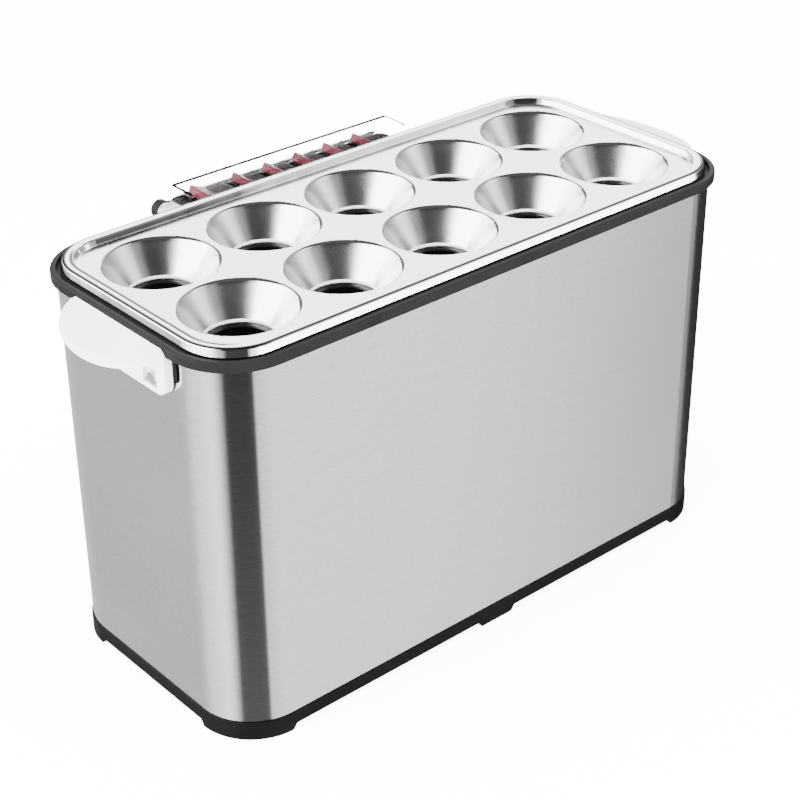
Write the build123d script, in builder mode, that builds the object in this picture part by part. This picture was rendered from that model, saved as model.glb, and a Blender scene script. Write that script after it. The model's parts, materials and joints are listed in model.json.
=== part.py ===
from build123d import *
from math import asin, atan2, cos, degrees, radians, sin, tan
import os

# Sausage roll maker: a steel case with ten upright cooking tubes under a pressed top plate.
# The origin is on the table under the middle of the whole machine. X runs along the long
# side, Y towards the switch housing on the back and Z up. All sizes are in millimetres.
# Each piece is drawn about the middle of the case and moved forward as it is written,
# because the switch housing stands out on one side only.

# Layout of the cooking holes
columns = 5
pitch = 75.0               # between neighbouring hole centres, both ways
dish_web = 5.8             # level steel left between two dishes
end_margin = 49.5          # last hole centre to the end of the top plate
side_margin = 50.5         # hole centre to the side of the top plate

# Heights from the table up
foot_height = 4.0
band_height = 8.6          # black band of the base frame above the feet
shell_height = 236.6       # steel that shows between base frame and top rim
rim_height = 6.3
field_lift = 1.0           # level of the cooking surface above the top rim

# Sheet and clearances
shell_gauge = 1.0
plate_gauge = 1.2
sheet_clear = 0.15         # between a sheet edge and the groove that holds it
seat_clear = 0.2           # between pieces that rest on each other with play
screw_clear = 0.2          # round a screw shank in its hole

# Top plate
plate_inset = 4.0          # plate edge in from the shell's outer face
plate_corner = 34.0
border_height = 3.7
border_width = 6.3
border_lean = 1.5          # how far the step inside the border leans
border_edge = 1.5          # rounding of the border
border_inner_edge = 1.2    # rounding above the step
skirt_depth = 8.8          # border top down to the skirt's edge
skirt_lean = 1.4           # how far the skirt's upright part stands outside the border
shoulder_depth = 4.8       # border top down to that upright part
dish_lip = 3.0             # rounding where a dish meets the level steel
dish_ring = 2.7            # level ring pressed with each dish
ring_overlap = 0.5         # where that ring runs into the level steel
throat_radius = 21.0
throat_depth = 20.0        # level steel down to the throat
throat_edge = 2.5
neck_length = 10.0

# Top rim
rim_overhang = 3.7         # outside the shell
rim_lip = 3.5              # width of the outer lip
rim_channel = 2.9          # depth of the channel inside the lip
rim_edge = 1.3
rim_bite = 1.9             # how far the shell reaches up into the rim
rim_leg = 9.0              # the inner leg's reach inside the shell's outer face
rim_leg_depth = 2.7        # the inner leg below the rim's outer edge

# Base frame
band_overhang = 1.0
band_wall = 2.7            # wall inside the groove that holds the shell
band_edge = 0.7
flange_reach = 11.0        # inward reach of the flange that carries the base plate
flange_thick = 3.0
corner_foot = 41.0         # length of a corner foot along each side
mid_foot = 31.0
foot_taper = 2.6

# Base plate
base_gauge = 1.2
slot_length = 38.0
slot_width = 5.0
slot_count = 7
slot_step = 13.0
slot_centre = 75.0         # middle of each field of slots from the middle of the plate
base_screw_x = 70.0
base_screw_y = 30.0
base_screw_inset = 7.4
base_screw_radius = 1.8
base_screw_length = 6.5
base_head_radius = 3.4
base_head_height = 1.8

# Cooking tubes
tube_bore = 18.5           # radius
tube_wall = 2.4
tube_drop = 22.0           # level steel down to the tube's top edge
tube_floor = 3.0
tube_foot = 50.0           # underside of the tube above the table
tube_collar = 2.6          # the collar's reach outside the tube
collar_height = 3.0
spigot_radius = 15.0
tube_edge = 0.8

# Heater bands
heater_clear = 0.1
heater_thick = 2.5
heater_length = 110.0
heater_rise = 32.0         # band above the tube's underside
heater_gap = 4.0
lug_reach = 8.5
lug_thick = 1.6
clamp_spread = 70.0        # between a band's two clamp screws
clamp_screw_radius = 2.0
clamp_head_radius = 3.4
clamp_head_height = 2.4
stud_radius = 1.9
stud_length = 7.0
stud_angle = 50.0          # each side of the lugs
stud_rise = 14.0           # above the band's lower edge

# Tube tray and tie rods
tray_gauge = 1.5
tray_margin = 10.0         # tray edge outside the tie rods
tray_corner = 18.0
rod_inset = 19.5           # rod centre in from the top plate's edges
rod_radius = 3.0
rod_tail = 0.8             # rod below its lower nut
rod_nut_height = 3.0
rod_nut_radius = 5.3
spacer_wall = 2.0

# End handles
handle_width = 94.0
handle_shift = 3.5         # handle's middle in front of the case's middle
handle_low = 31.0          # lower edge below the cooking surface
handle_top = 3.0           # wing's inner edge below the cooking surface
handle_plate = 5.2
handle_corner = 8.0
wing_width = 86.8
wing_reach = 28.2          # along the wing's slope
wing_thick = 6.5
wing_slope = 14.5          # fall of the wing towards its edge, degrees
wing_edge = 2.4
recess_centre = 32.0       # from the middle of the handle
recess_width = 13.0
recess_low = 3.0           # recess above the handle's lower edge
recess_depth = 2.6
rim_gap = 0.4              # between handle and top rim
pad_thick = 1.0
pad_width = 102.0
pad_low = 23.0             # pad's lower edge below the cooking surface
handle_screw_drop = 24.2   # below the cooking surface
handle_screw_radius = 2.0
handle_head_radius = 3.2
handle_head_height = 1.8
handle_screw_tail = 5.0
handle_nut_height = 3.0
handle_nut_radius = 4.2

# Switch housing
housing_left = -84.7
housing_right = 89.1
housing_depth = 35.5       # out from the shell
housing_drop = 9.5         # panel below the cooking surface
housing_height = 47.0
housing_wall = 2.2
panel_thick = 2.5
housing_corner = 10.0
housing_edge = 3.0
boss_radius = 3.5
boss_length = 12.0
boss_sink = 1.0            # how far a boss runs into the walls beside it
housing_screw_radius = 1.5
housing_head_radius = 3.0
housing_head_height = 2.0
housing_screw_grip = 10.0
window_width = 140.0
window_height = 26.0
window_drop = 35.0         # middle of the window below the panel

# Switches, the larger main one first
switch_first = -59.2       # pivot of the main switch
switch_gap = 2.8           # panel left between two bezels
switch_back = 18.0         # switch centres out from the shell
bezel_height = 2.0
bezel_edge = 0.6
bezel_overhang = 0.7       # over the switch body all round
pivot_rise = 1.0           # rocker pivot above the panel
rocker_tilt = 11.0         # degrees each side of level
rocker_clear = 0.3
rocker_dip = 1.6           # the rocker's middle above its pivot
rocker_belly = 2.6         # the rocker's underside below its pivot
cheek = 1.0                # wall of a switch body beside the rocker
trunnion_radius = 1.4
trunnion_length = 0.6      # reach into the cheek
trunnion_clear = 0.05
blade_width = 6.3
blade_thick = 0.8
blade_length = 8.0
cutout_clear = 0.2
main_switch = {"length": 31.0, "width": 24.0, "radius": 12.6, "rise": 4.2, "depth": 24.0, "blades": 2}
small_switch = {"length": 22.0, "width": 23.0, "radius": 9.0, "rise": 4.3, "depth": 20.0, "blades": 1}
small_count = 5

# Clear hood over the switches
hood_left = -84.2
hood_right = 92.3
hood_near = 4.1            # near wall out from the shell
hood_far = 34.2            # foot of the far wall out from the shell
hood_slope = 4.6           # how far the far wall leans in
hood_height = 11.5         # above the panel
hood_lift = 0.3            # between hood and panel
hood_wall = 1.6
hood_shoulder = 5.5        # rounding of the near top edge
hood_edge = 2.2            # rounding of the far top edge
hood_end_edge = 1.5        # rounding of the end walls' edges
hood_apron = 3.0           # the right wall's reach below the panel
apron_margin = 7.0
hinge_left = 6.8           # pin centre left of the housing
hinge_drop = 3.5           # pin centre below the panel
ear_radius = 6.2
ear_thick = 6.2
ear_start = 5.0            # near ear out from the shell
barrel_radius = 5.6
barrel_length = 14.8
hinge_play = 0.4           # between barrel and ears, and round the ears
pin_radius = 1.5
pin_clear = 0.05
pin_end = 0.6              # pin ends in from the ears' outer faces
web_thick = 1.6

# Cord inlet and terminal block
gland_end = 53.5           # gland in from the case's right end
gland_z = 42.0
gland_bore = 4.2           # radius, in the seal that grips the cord
gland_body_bore = 5.2      # radius, through the threaded body
gland_seal_start = 1.5     # seal out from the shell
gland_thread = 7.6
gland_hex = 10.5
gland_flange = 5.0
gland_dome = 9.0
gland_dome_radius = 8.0
gland_tail = 9.0
gland_nut_thick = 4.0
thread_clear = 0.1
block_length = 58.0
block_width = 24.0
block_height = 18.0
block_end = 103.5          # block's middle in from the case's right end
block_side = 34.0          # and in from its back
block_ways = 3
block_pitch = 17.0
way_radius = 2.6
block_screw_radius = 2.0
block_screw_length = 6.0

# Sizes that follow from the ones above
rows_y = (-pitch / 2, pitch / 2)
columns_x = [(number - (columns - 1) / 2) * pitch for number in range(columns)]
plate_length = (columns - 1) * pitch + 2 * end_margin
plate_width = pitch + 2 * side_margin
body_length = plate_length + 2 * plate_inset
body_width = plate_width + 2 * plate_inset
body_corner = plate_corner + plate_inset
end_face = body_length / 2
back_face = body_width / 2
gland_x = end_face - gland_end
block_x = end_face - block_end
block_y = back_face - block_side

band_top = foot_height + band_height
flange_top = foot_height + flange_thick
rim_bottom = band_top + shell_height
rim_top = rim_bottom + rim_height
field_top = rim_top + field_lift
field_under = field_top - plate_gauge
border_top = field_top + border_height
skirt_edge = border_top - skirt_depth
plate_seat = skirt_edge - seat_clear
skirt_inset = plate_inset - skirt_lean
rim_inner = skirt_inset - seat_clear
shoulder_end = border_top - shoulder_depth
base_top = flange_top + base_gauge

dish_radius = (pitch - dish_web) / 2
throat_top = field_top - throat_depth
neck_end = throat_top - neck_length
tube_radius = tube_bore + tube_wall
tube_top = field_top - tube_drop
collar_top = neck_end - seat_clear
heater_bottom = tube_foot + heater_rise
heater_inner = tube_radius + heater_clear
heater_outer = heater_inner + heater_thick

rod_x = plate_length / 2 - rod_inset
rod_y = plate_width / 2 - rod_inset
tray_top = tube_foot
tray_under = tray_top - tray_gauge

panel_top = field_top - housing_drop
housing_bottom = panel_top - housing_height
housing_front = back_face + housing_depth
pin_x = housing_left - hinge_left
pin_z = panel_top - hinge_drop
frame_shift = (housing_depth - rim_overhang) / 2
switch_y = back_face + switch_back
pivot_z = panel_top + pivot_rise

switches = [("main", main_switch, switch_first)]
switch_x = switch_first + (main_switch["length"] + small_switch["length"]) / 2 + switch_gap
for number in range(small_count):
    switches.append((f"small_{number + 1}", small_switch, switch_x))
    switch_x += small_switch["length"] + switch_gap


def case_outline(inset):
    """Plan outline of the case, drawn in from the shell's outer face"""
    return RectangleRounded(body_length - 2 * inset, body_width - 2 * inset, body_corner - inset)


def case_slab(inset, bottom, top, mode=Mode.ADD):
    """Solid slab with the case's outline"""
    with BuildSketch(Plane.XY.offset(bottom)) as slab:
        case_outline(inset)
    extrude(slab.sketch, amount=top - bottom, mode=mode)


def leaning_slab(inset, top, depth, lean, mode=Mode.ADD):
    """Slab with the case's outline whose side leans by an angle, outwards below if negative"""
    with BuildSketch(Plane.XY.offset(top)) as slab:
        case_outline(inset)
    extrude(slab.sketch, amount=-depth, taper=lean, mode=mode)


def case_ring(outer, inner, bottom, top, mode=Mode.ADD):
    """Loop between two insets of the case's outline"""
    with BuildSketch(Plane.XY.offset(bottom)) as loop:
        case_outline(outer)
        with BuildSketch(Plane.XY.offset(bottom), mode=Mode.SUBTRACT):
            case_outline(inner)
    extrude(loop.sketch, amount=top - bottom, mode=mode)


def upright_holes(points, radius, bottom, top, mode=Mode.SUBTRACT):
    """Round holes or studs along Z"""
    with BuildSketch(Plane.XY.offset(bottom)) as rounds:
        with Locations(*points):
            Circle(radius)
    extrude(rounds.sketch, amount=top - bottom, mode=mode)


def hex_prisms(points, radius, bottom, top):
    """Nut blanks along Z"""
    with BuildSketch(Plane.XY.offset(bottom)) as blanks:
        with Locations(*points):
            RegularPolygon(radius, 6)
    extrude(blanks.sketch, amount=top - bottom)


def rounds_along_y(points, radius, start, end, mode=Mode.SUBTRACT):
    """Round holes or studs along Y at (x, z) points"""
    with BuildSketch(Plane.XZ.offset(-end)) as rounds:
        with Locations(*points):
            Circle(radius)
    extrude(rounds.sketch, amount=end - start, mode=mode)


def rounds_along_x(points, radius, start, end, mode=Mode.SUBTRACT):
    """Round holes or studs along X at (y, z) points"""
    with BuildSketch(Plane.YZ.offset(start)) as rounds:
        with Locations(*points):
            Circle(radius)
    extrude(rounds.sketch, amount=end - start, mode=mode)


def block(x_span, y_span, z_span, mode=Mode.ADD):
    """Rectangular block between low and high values"""
    middle = [(span[0] + span[1]) / 2 for span in (x_span, y_span, z_span)]
    with Locations(tuple(middle)):
        Box(x_span[1] - x_span[0], y_span[1] - y_span[0], z_span[1] - z_span[0], mode=mode)


def write(builder, node):
    """Move a finished piece to the part's origin, label it and write its file"""
    builder.part = builder.part.moved(Location((0, -frame_shift, 0)))
    builder.part.label = node
    export_step(builder.part, f"parts/{node}.step")


os.makedirs("parts", exist_ok=True)

rod_points = [(x, y) for x in (-rod_x, rod_x) for y in (-rod_y, rod_y)]
hole_points = [(x, y) for x in columns_x for y in rows_y]

# Feet of the base frame: corner and middle blocks that narrow towards the table
frame_x = body_length / 2 + band_overhang
frame_y = body_width / 2 + band_overhang
with BuildPart(mode=Mode.PRIVATE) as feet:
    case_ring(-band_overhang, flange_reach, 0, foot_height)
    with BuildSketch(Plane.XY.offset(foot_height)) as foot_areas:
        for side_x in (-1, 1):
            for side_y in (-1, 1):
                with Locations((side_x * frame_x, side_y * frame_y)):
                    Rectangle(2 * corner_foot, 2 * corner_foot)
        Rectangle(mid_foot, 2 * frame_y + mid_foot)
    foot_lean = degrees(atan2(foot_taper, foot_height))
    extrude(foot_areas.sketch, amount=-foot_height, taper=foot_lean, mode=Mode.INTERSECT)

# Base frame: the black band that carries the shell and the base plate, with its feet
with BuildPart() as base_frame:
    case_ring(-band_overhang, flange_reach, foot_height, flange_top)
    case_ring(-band_overhang, shell_gauge + sheet_clear + band_wall, flange_top, band_top)
    outer_loop = base_frame.faces().sort_by(Axis.Z)[-1].outer_wire()
    fillet(outer_loop.edges(), band_edge)
    case_ring(-sheet_clear, shell_gauge + sheet_clear, flange_top, band_top, mode=Mode.SUBTRACT)
    add(feet.part)
    screw_spots = [(x, side * (body_width / 2 - base_screw_inset))
                   for x in (-base_screw_x, base_screw_x) for side in (-1, 1)]
    screw_spots += [(side * (body_length / 2 - base_screw_inset), y)
                    for side in (-1, 1) for y in (-base_screw_y, base_screw_y)]
    upright_holes(screw_spots, base_screw_radius + screw_clear, foot_height, flange_top)
write(base_frame, "base_frame")

# Base plate: steel sheet with air slots, screwed down on the base frame's flange
with BuildPart() as base_plate:
    case_slab(shell_gauge + sheet_clear + band_wall + seat_clear, flange_top, base_top)
    with BuildSketch(Plane.XY.offset(flange_top)) as slots:
        for side in (-1, 1):
            with Locations((side * slot_centre, 0)):
                with GridLocations(slot_step, 0, slot_count, 1):
                    SlotOverall(slot_length, slot_width, rotation=90)
    extrude(slots.sketch, amount=base_gauge, mode=Mode.SUBTRACT)
    upright_holes(screw_spots, base_screw_radius + thread_clear, flange_top, base_top)
    upright_holes(rod_points, rod_radius + screw_clear, flange_top, base_top)
write(base_plate, "base_plate")

# Base screws: pan heads under the flange
with BuildPart() as base_screws:
    screw_head = foot_height - base_head_height
    upright_holes(screw_spots, base_head_radius, screw_head, foot_height, mode=Mode.ADD)
    upright_holes(screw_spots, base_screw_radius, foot_height, foot_height + base_screw_length,
                  mode=Mode.ADD)
write(base_screws, "base_screws")

# Body shell: brushed wrap with holes for handles, switch housing and cord gland
recess_ys = [side * recess_centre - handle_shift for side in (-1, 1)]
handle_screws_yz = [(y, field_top - handle_screw_drop) for y in recess_ys]
boss_left = housing_left + housing_wall + boss_radius - boss_sink
boss_right = housing_right - housing_wall - boss_radius + boss_sink
boss_high = panel_top - panel_thick - boss_radius + boss_sink
boss_low = housing_bottom + housing_wall + boss_radius - boss_sink
boss_xz = [(x, z) for x in (boss_left, boss_right) for z in (boss_low, boss_high)]
with BuildPart() as body_shell:
    case_ring(0, shell_gauge, flange_top + sheet_clear, rim_bottom + rim_bite)
    for side in (-1, 1):
        low, high = sorted((side * end_face, side * (end_face - shell_gauge)))
        rounds_along_x(handle_screws_yz, handle_screw_radius + screw_clear, low, high)
    inner_back = back_face - shell_gauge
    rounds_along_y(boss_xz, housing_screw_radius + screw_clear, inner_back, back_face)
    rounds_along_y([(gland_x, gland_z)], gland_thread + thread_clear, inner_back, back_face)
    with BuildSketch(Plane.XZ.offset(-back_face)) as window:
        with Locations(((housing_left + housing_right) / 2, panel_top - window_drop)):
            RectangleRounded(window_width, window_height, housing_edge)
    extrude(window.sketch, amount=shell_gauge, mode=Mode.SUBTRACT)
write(body_shell, "body_shell")

# Top rim: black moulding with an outer lip, a channel and a seat for the plate's skirt
with BuildPart() as top_rim:
    case_ring(-rim_overhang, rim_inner, rim_bottom, rim_top)
    rim_outline = top_rim.faces().filter_by(Axis.Z)
    fillet(rim_outline.sort_by(Axis.Z)[-1].outer_wire().edges(), rim_edge)
    fillet(top_rim.faces().filter_by(Axis.Z).sort_by(Axis.Z)[0].outer_wire().edges(), rim_edge / 2)
    case_ring(rim_lip - rim_overhang, rim_inner, rim_top - rim_channel, rim_top, mode=Mode.SUBTRACT)
    case_ring(shell_gauge + sheet_clear, rim_leg, rim_bottom - rim_leg_depth, plate_seat)
    case_ring(-sheet_clear, shell_gauge + sheet_clear, rim_bottom - rim_leg_depth,
              rim_bottom + rim_bite + seat_clear, mode=Mode.SUBTRACT)
write(top_rim, "top_rim")

# Top plate: raised border, skirt and ten pressed funnels that end in necks round the tubes
with BuildPart(mode=Mode.PRIVATE) as funnel:
    with BuildSketch(Plane.XZ) as funnel_wall:
        with BuildLine():
            inner_line = FilletPolyline(
                (dish_radius + dish_ring, field_top),
                (dish_radius, field_top),
                (throat_radius, throat_top),
                (throat_radius, neck_end),
                radius=(dish_lip, throat_edge),
            )
            offset(inner_line, amount=plate_gauge, side=Side.LEFT, closed=True)
        make_face()
    revolve(funnel_wall.sketch, axis=Axis.Z)
dish_opening = dish_radius + dish_ring - ring_overlap
shoulder_lean = atan2(skirt_lean, shoulder_depth)
inner_skirt = skirt_inset + plate_gauge
inner_border = plate_inset + plate_gauge * (1 - sin(shoulder_lean)) / cos(shoulder_lean)
inner_top = border_top - plate_gauge
inner_depth = (inner_border - inner_skirt) / tan(shoulder_lean)
step_inset = plate_inset + border_width
step_lean = degrees(atan2(border_lean, border_height))
with BuildPart() as top_plate:
    leaning_slab(plate_inset, border_top, shoulder_depth, -degrees(shoulder_lean))
    fillet(top_plate.faces().sort_by(Axis.Z)[-1].edges(), border_edge)
    case_slab(skirt_inset, skirt_edge, shoulder_end)
    leaning_slab(inner_border, inner_top, inner_depth, -degrees(shoulder_lean), mode=Mode.SUBTRACT)
    case_slab(inner_skirt, skirt_edge, inner_top - inner_depth, mode=Mode.SUBTRACT)
    case_slab(step_inset - plate_gauge, field_under, inner_top)
    leaning_slab(step_inset, border_top, border_height, step_lean, mode=Mode.SUBTRACT)
    fillet(top_plate.faces().sort_by(Axis.Z)[-1].inner_wires()[0].edges(), border_inner_edge)
    upright_holes(hole_points, dish_opening, field_under, field_top)
    with Locations(*[(x, y, 0) for x, y in hole_points]):
        add(funnel.part)
write(top_plate, "top_plate")

# Cooking tubes: thick coated cups that stand on the tray and reach up into the necks
with BuildPart(mode=Mode.PRIVATE) as tube_blank:
    upright_holes([(0, 0)], tube_radius, tube_foot, tube_top, mode=Mode.ADD)
    chamfer(tube_blank.edges().sort_by(Axis.Z)[-1], tube_edge / 2)
    upright_holes([(0, 0)], tube_radius + tube_collar, collar_top - collar_height, collar_top,
                  mode=Mode.ADD)
    upright_holes([(0, 0)], spigot_radius, tray_under, tube_foot, mode=Mode.ADD)
    upright_holes([(0, 0)], tube_bore, tube_foot + tube_floor, tube_top)
    bore_edges = tube_blank.edges().filter_by(GeomType.CIRCLE).sort_by(Axis.Z)
    chamfer(bore_edges[-1:], tube_edge)

# Heater bands: split sleeves with clamp lugs towards the middle of the case
with BuildPart(mode=Mode.PRIVATE) as heater_blank:
    heater_top = heater_bottom + heater_length
    upright_holes([(0, 0)], heater_outer, heater_bottom, heater_top, mode=Mode.ADD)
    lug_end = heater_outer + lug_reach
    lug_half = heater_gap / 2 + lug_thick
    block((-lug_half, lug_half), (heater_inner, lug_end), (heater_bottom, heater_top))
    for side in (-1, 1):
        turn = radians(90 + side * stud_angle)
        stud_plane = Plane(origin=(0, 0, heater_bottom + stud_rise), z_dir=(cos(turn), sin(turn), 0))
        with BuildSketch(stud_plane.offset(heater_inner + heater_thick / 2)) as stud:
            Circle(stud_radius)
        extrude(stud.sketch, amount=heater_thick / 2 + stud_length)
    upright_holes([(0, 0)], heater_inner, heater_bottom, heater_top)
    block((-heater_gap / 2, heater_gap / 2), (0, lug_end), (heater_bottom, heater_top),
          mode=Mode.SUBTRACT)
    heater_middle = (heater_bottom + heater_top) / 2
    clamp_y = heater_outer + lug_reach / 2
    clamp_yz = [(clamp_y, heater_middle + side * clamp_spread / 2) for side in (-1, 1)]
    rounds_along_x(clamp_yz, clamp_screw_radius + thread_clear, -lug_half, lug_half)
with BuildPart(mode=Mode.PRIVATE) as clamp_pair:
    rounds_along_x(clamp_yz, clamp_screw_radius, -lug_half - clamp_head_height, lug_half,
                   mode=Mode.ADD)
    rounds_along_x(clamp_yz, clamp_head_radius, -lug_half - clamp_head_height, -lug_half,
                   mode=Mode.ADD)
    rounds_along_x(clamp_yz, clamp_head_radius, lug_half, lug_half + clamp_head_height,
                   mode=Mode.ADD)

for row_name, row_y in zip(("front", "back"), rows_y):
    row_turn = 0 if row_y < 0 else 180
    for number, column_x in enumerate(columns_x, start=1):
        with BuildPart() as tube:
            with Locations((column_x, row_y, 0)):
                add(tube_blank.part)
        write(tube, f"tube_{row_name}_{number}")
        with BuildPart() as heater:
            with Locations(Location((column_x, row_y, 0), (0, 0, row_turn))):
                add(heater_blank.part)
        write(heater, f"heater_{row_name}_{number}")

with BuildPart() as heater_clamp_screws:
    for row_y in rows_y:
        row_turn = 0 if row_y < 0 else 180
        for column_x in columns_x:
            with Locations(Location((column_x, row_y, 0), (0, 0, row_turn))):
                add(clamp_pair.part)
write(heater_clamp_screws, "heater_clamp_screws")

# Tube tray: the shelf that locates the tubes' feet
with BuildPart() as tube_tray:
    with BuildSketch(Plane.XY.offset(tray_under)):
        RectangleRounded(2 * (rod_x + tray_margin), 2 * (rod_y + tray_margin), tray_corner)
    extrude(amount=tray_gauge)
    upright_holes(hole_points, spigot_radius + screw_clear, tray_under, tray_top)
    upright_holes(rod_points, rod_radius + screw_clear, tray_under, tray_top)
write(tube_tray, "tube_tray")

# Tray spacers: tubes on the tie rods between base plate and tray
with BuildPart() as tray_spacers:
    upright_holes(rod_points, rod_radius + screw_clear + spacer_wall, base_top, tray_under,
                  mode=Mode.ADD)
    upright_holes(rod_points, rod_radius + screw_clear, base_top, tray_under)
write(tray_spacers, "tray_spacers")

# Tie rods: from the top plate's underside down through tray and base plate
with BuildPart() as tie_rods:
    lower_nut = flange_top - rod_nut_height
    upright_holes(rod_points, rod_radius, lower_nut - rod_tail, field_under, mode=Mode.ADD)
write(tie_rods, "tie_rods")

with BuildPart() as tie_rod_nuts:
    hex_prisms(rod_points, rod_nut_radius, lower_nut, flange_top)
    hex_prisms(rod_points, rod_nut_radius, tray_top, tray_top + rod_nut_height)
    upright_holes(rod_points, rod_radius + thread_clear / 2, lower_nut, tray_top + rod_nut_height)
write(tie_rod_nuts, "tie_rod_nuts")

# End handles: a screwed back plate and a sloping half-moon wing, drawn for the right end
handle_back = end_face + pad_thick
handle_front = handle_back + handle_plate
handle_bottom = field_top - handle_low
wing_top = field_top - handle_top
wing_start = end_face + rim_overhang + rim_gap
wing_fall = radians(wing_slope)
wing_plane = Plane(origin=(wing_start, -handle_shift, wing_top),
                   x_dir=(cos(wing_fall), 0, -sin(wing_fall)),
                   z_dir=(sin(wing_fall), 0, cos(wing_fall)))
recess_top = wing_top - wing_thick / cos(wing_fall) - (handle_front - wing_start) * tan(wing_fall)
with BuildPart(mode=Mode.PRIVATE) as handle_blank:
    with BuildSketch(wing_plane) as wing:
        Ellipse(wing_reach, wing_width / 2)
        Rectangle(wing_reach, wing_width, align=(Align.MAX, Align.CENTER), mode=Mode.SUBTRACT)
    extrude(wing.sketch, amount=-wing_thick)
    fillet(handle_blank.edges().filter_by(GeomType.ELLIPSE), wing_edge)
    with BuildSketch(Plane.YZ.offset(handle_back)) as back_plate:
        with Locations((-handle_shift, (handle_bottom + wing_top) / 2)):
            RectangleRounded(handle_width, wing_top - handle_bottom, handle_corner)
    extrude(back_plate.sketch, amount=handle_plate)
    with BuildSketch(wing_plane) as above_wing:
        Rectangle(2 * wing_reach, 2 * handle_width)
    extrude(above_wing.sketch, amount=wing_thick, mode=Mode.SUBTRACT)
    for recess_y in recess_ys:
        block((handle_front - recess_depth, handle_front),
              (recess_y - recess_width / 2, recess_y + recess_width / 2),
              (handle_bottom + recess_low, recess_top), mode=Mode.SUBTRACT)
    rounds_along_x(handle_screws_yz, handle_screw_radius + screw_clear, handle_back, handle_front)
    block((end_face, wing_start), (-handle_width, handle_width), (rim_bottom - rim_gap, field_top),
          mode=Mode.SUBTRACT)

# Handle pads: thin black sheets between the handles and the shell
with BuildPart(mode=Mode.PRIVATE) as pad_blank:
    pad_top = rim_bottom - rim_gap
    pad_bottom = field_top - pad_low
    with BuildSketch(Plane.YZ.offset(end_face)) as pad:
        with Locations((-handle_shift, (pad_top + pad_bottom) / 2)):
            RectangleRounded(pad_width, pad_top - pad_bottom, handle_corner / 2)
        with Locations((-handle_shift, (handle_bottom + pad_top) / 2)):
            RectangleRounded(handle_width - handle_corner, pad_top - handle_bottom - handle_corner / 2,
                             handle_corner / 2)
    extrude(pad.sketch, amount=pad_thick)
    rounds_along_x(handle_screws_yz, handle_screw_radius + screw_clear, end_face, handle_back)

with BuildPart() as handle_right:
    add(handle_blank.part)
write(handle_right, "handle_right")
with BuildPart() as handle_left:
    add(handle_blank.part.mirror(Plane.YZ))
write(handle_left, "handle_left")
with BuildPart() as handle_pad_right:
    add(pad_blank.part)
write(handle_pad_right, "handle_pad_right")
with BuildPart() as handle_pad_left:
    add(pad_blank.part.mirror(Plane.YZ))
write(handle_pad_left, "handle_pad_left")

with BuildPart() as handle_screws:
    inner_end = end_face - shell_gauge - handle_screw_tail
    head_seat = handle_front - recess_depth
    rounds_along_x(handle_screws_yz, handle_screw_radius, inner_end, head_seat, mode=Mode.ADD)
    rounds_along_x(handle_screws_yz, handle_head_radius, head_seat, head_seat + handle_head_height,
                   mode=Mode.ADD)
    mirror(about=Plane.YZ)
write(handle_screws, "handle_screws")

with BuildPart() as handle_nuts:
    nut_seat = end_face - shell_gauge
    with BuildSketch(Plane.YZ.offset(nut_seat - handle_nut_height)) as nut_blanks:
        with Locations(*handle_screws_yz):
            RegularPolygon(handle_nut_radius, 6)
            Circle(handle_screw_radius + thread_clear / 2, mode=Mode.SUBTRACT)
    extrude(nut_blanks.sketch, amount=handle_nut_height)
    mirror(about=Plane.YZ)
write(handle_nuts, "handle_nuts")

# Switch housing: black box on the back, open towards the shell, with the hood's ears
ear_near = back_face + ear_start
barrel_near = ear_near + ear_thick + hinge_play
barrel_far = barrel_near + barrel_length
ear_far = barrel_far + hinge_play
with BuildPart() as switch_housing:
    housing_middle = (housing_left + housing_right) / 2
    housing_length = housing_right - housing_left
    with BuildSketch(Plane.XY.offset(housing_bottom)) as housing_plan:
        with Locations((housing_middle, back_face)):
            RectangleRounded(housing_length, 2 * housing_depth, housing_corner)
            Rectangle(housing_length, housing_depth, align=(Align.CENTER, Align.MAX),
                      mode=Mode.SUBTRACT)
    extrude(housing_plan.sketch, amount=housing_height)
    low_loop = switch_housing.faces().sort_by(Axis.Z)[0].edges()
    fillet(low_loop.filter_by(lambda edge: edge.center().Y > back_face + housing_edge), housing_edge)
    for near in (ear_near, ear_far):
        with BuildSketch(Plane.XZ.offset(-near - ear_thick)) as ear:
            with Locations((pin_x, pin_z)):
                Circle(ear_radius)
            ear_root = housing_left + housing_corner
            ear_shoulder = hinge_drop - hinge_play
            with BuildLine():
                Polyline((pin_x, pin_z - ear_radius), (ear_root, pin_z - ear_radius),
                         (ear_root, pin_z + ear_shoulder), (housing_left, pin_z + ear_shoulder),
                         (pin_x, pin_z + ear_radius), close=True)
            make_face()
        extrude(ear.sketch, amount=ear_thick)
    with BuildSketch(Plane.XY.offset(housing_bottom + housing_wall)) as housing_inside:
        with Locations((housing_middle, back_face)):
            RectangleRounded(housing_length - 2 * housing_wall, 2 * (housing_depth - housing_wall),
                             housing_corner - housing_wall)
            Rectangle(housing_length, housing_depth, align=(Align.CENTER, Align.MAX),
                      mode=Mode.SUBTRACT)
    extrude(housing_inside.sketch, amount=housing_height - housing_wall - panel_thick,
            mode=Mode.SUBTRACT)
    rounds_along_y(boss_xz, boss_radius, back_face, back_face + boss_length, mode=Mode.ADD)
    rounds_along_y(boss_xz, housing_screw_radius + thread_clear / 2, back_face,
                   back_face + boss_length)
    rounds_along_y([(pin_x, pin_z)], pin_radius + pin_clear, ear_near, ear_far + ear_thick)
    for switch_name, kind, pivot_x in switches:
        cut_x = kind["length"] / 2 - bezel_overhang + cutout_clear
        cut_y = kind["width"] / 2 - bezel_overhang + cutout_clear
        block((pivot_x - cut_x, pivot_x + cut_x), (switch_y - cut_y, switch_y + cut_y),
              (panel_top - panel_thick, panel_top), mode=Mode.SUBTRACT)
write(switch_housing, "switch_housing")

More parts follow.
